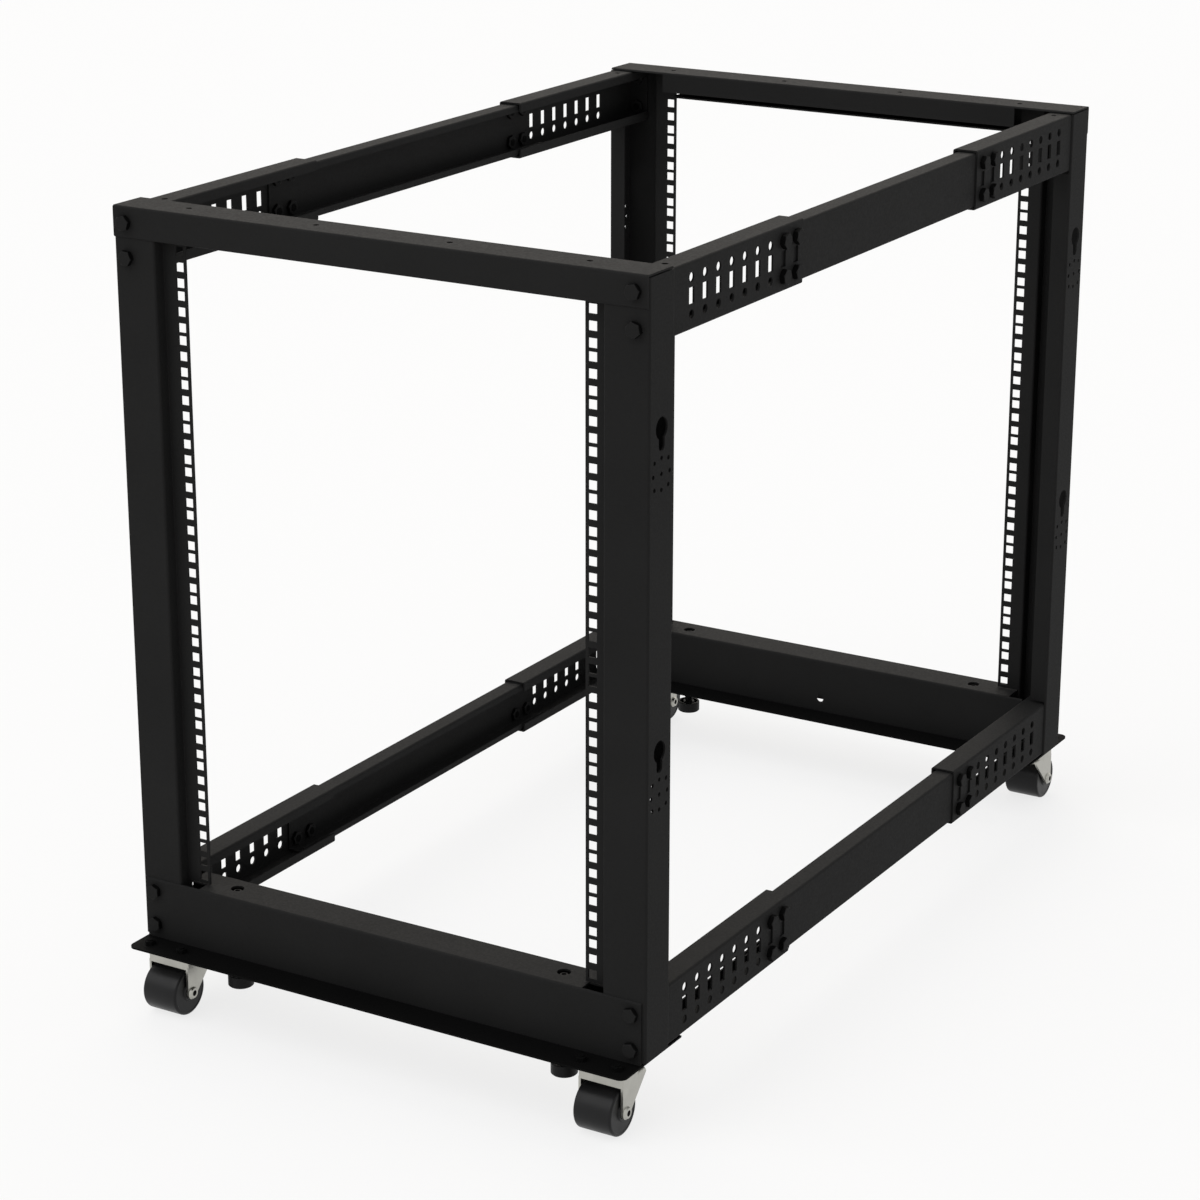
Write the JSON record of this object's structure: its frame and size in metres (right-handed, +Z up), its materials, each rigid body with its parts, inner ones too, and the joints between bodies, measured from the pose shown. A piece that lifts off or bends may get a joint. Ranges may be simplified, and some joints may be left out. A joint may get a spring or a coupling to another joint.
{
  "type": "four post open frame rack",
  "caption": "Low open equipment rack: four slotted posts on square-hole flanges, folded crossbars, depth-adjustable side brackets, swivel casters and levelling feet.",
  "frame": {"origin": "on the floor, under the middle of the rack", "axes": "+Z up, +X to the right and +Y to the back, seen from the front"},
  "size_m": [0.6, 1.065, 0.8438],
  "materials": {
    "powder_coated_steel": "black powder coat, fine texture, satin",
    "zinc_plated_steel": "bright zinc plate",
    "wheel_nylon": "dark moulded nylon, satin",
    "foot_steel": "black oxide steel, satin"
  },
  "bodies": {
    "rack": {"base_channel_front": "powder_coated_steel", "base_channel_rear": "powder_coated_steel", "caster_plate_front_left": "zinc_plated_steel", "caster_plate_front_right": "zinc_plated_steel", "caster_plate_rear_left": "zinc_plated_steel", "caster_plate_rear_right": "zinc_plated_steel", "foot_plate_front": "powder_coated_steel", "foot_plate_rear": "powder_coated_steel", "lower_bracket_front_left": "powder_coated_steel", "lower_bracket_front_right": "powder_coated_steel", "lower_bracket_rear_left": "powder_coated_steel", "lower_bracket_rear_right": "powder_coated_steel", "lower_rail_left": "powder_coated_steel", "lower_rail_right": "powder_coated_steel", "post_front_left": "powder_coated_steel", "post_front_right": "powder_coated_steel", "post_rear_left": "powder_coated_steel", "post_rear_right": "powder_coated_steel", "top_crossbar_front": "powder_coated_steel", "top_crossbar_rear": "powder_coated_steel", "upper_bracket_front_left": "powder_coated_steel", "upper_bracket_front_right": "powder_coated_steel", "upper_bracket_rear_left": "powder_coated_steel", "upper_bracket_rear_right": "powder_coated_steel", "upper_rail_left": "powder_coated_steel", "upper_rail_right": "powder_coated_steel"},
    "front left caster fork": {"caster_fork_front_left": "zinc_plated_steel"},
    "front left caster wheel": {"caster_wheel_front_left": "wheel_nylon"},
    "front left levelling foot": {"levelling_foot_front_left": "foot_steel"},
    "front right caster fork": {"caster_fork_front_right": "zinc_plated_steel"},
    "front right caster wheel": {"caster_wheel_front_right": "wheel_nylon"},
    "front right levelling foot": {"levelling_foot_front_right": "foot_steel"},
    "rear left caster fork": {"caster_fork_rear_left": "zinc_plated_steel"},
    "rear left caster wheel": {"caster_wheel_rear_left": "wheel_nylon"},
    "rear left levelling foot": {"levelling_foot_rear_left": "foot_steel"},
    "rear right caster fork": {"caster_fork_rear_right": "zinc_plated_steel"},
    "rear right caster wheel": {"caster_wheel_rear_right": "wheel_nylon"},
    "rear right levelling foot": {"levelling_foot_rear_right": "foot_steel"}
  },
  "joints": [
    {"name": "front left swivel", "type": "hinge", "parent": "rack", "child": "front left caster fork", "pos_m": [-0.26, -0.49, 0.06], "axis": [0, 0, 1], "continuous": true},
    {"name": "front left wheel", "type": "hinge", "parent": "front left caster fork", "child": "front left caster wheel", "pos_m": [-0.26, -0.506, 0.025], "axis": [1, 0, 0], "continuous": true},
    {"name": "front left levelling screw", "type": "slide", "parent": "rack", "child": "front left levelling foot", "axis": [0, 0, 1], "range_m": [-0.04, 0.022]},
    {"name": "front right swivel", "type": "hinge", "parent": "rack", "child": "front right caster fork", "pos_m": [0.26, -0.49, 0.06], "axis": [0, 0, 1], "continuous": true},
    {"name": "front right wheel", "type": "hinge", "parent": "front right caster fork", "child": "front right caster wheel", "pos_m": [0.26, -0.506, 0.025], "axis": [1, 0, 0], "continuous": true},
    {"name": "front right levelling screw", "type": "slide", "parent": "rack", "child": "front right levelling foot", "axis": [0, 0, 1], "range_m": [-0.04, 0.022]},
    {"name": "rear left swivel", "type": "hinge", "parent": "rack", "child": "rear left caster fork", "pos_m": [-0.26, 0.49, 0.06], "axis": [0, 0, 1], "continuous": true},
    {"name": "rear left wheel", "type": "hinge", "parent": "rear left caster fork", "child": "rear left caster wheel", "pos_m": [-0.26, 0.506, 0.025], "axis": [1, 0, 0], "continuous": true},
    {"name": "rear left levelling screw", "type": "slide", "parent": "rack", "child": "rear left levelling foot", "axis": [0, 0, 1], "range_m": [-0.04, 0.022]},
    {"name": "rear right swivel", "type": "hinge", "parent": "rack", "child": "rear right caster fork", "pos_m": [0.26, 0.49, 0.06], "axis": [0, 0, 1], "continuous": true},
    {"name": "rear right wheel", "type": "hinge", "parent": "rear right caster fork", "child": "rear right caster wheel", "pos_m": [0.26, 0.506, 0.025], "axis": [1, 0, 0], "continuous": true},
    {"name": "rear right levelling screw", "type": "slide", "parent": "rack", "child": "rear right levelling foot", "axis": [0, 0, 1], "range_m": [-0.04, 0.022]}
  ]
}
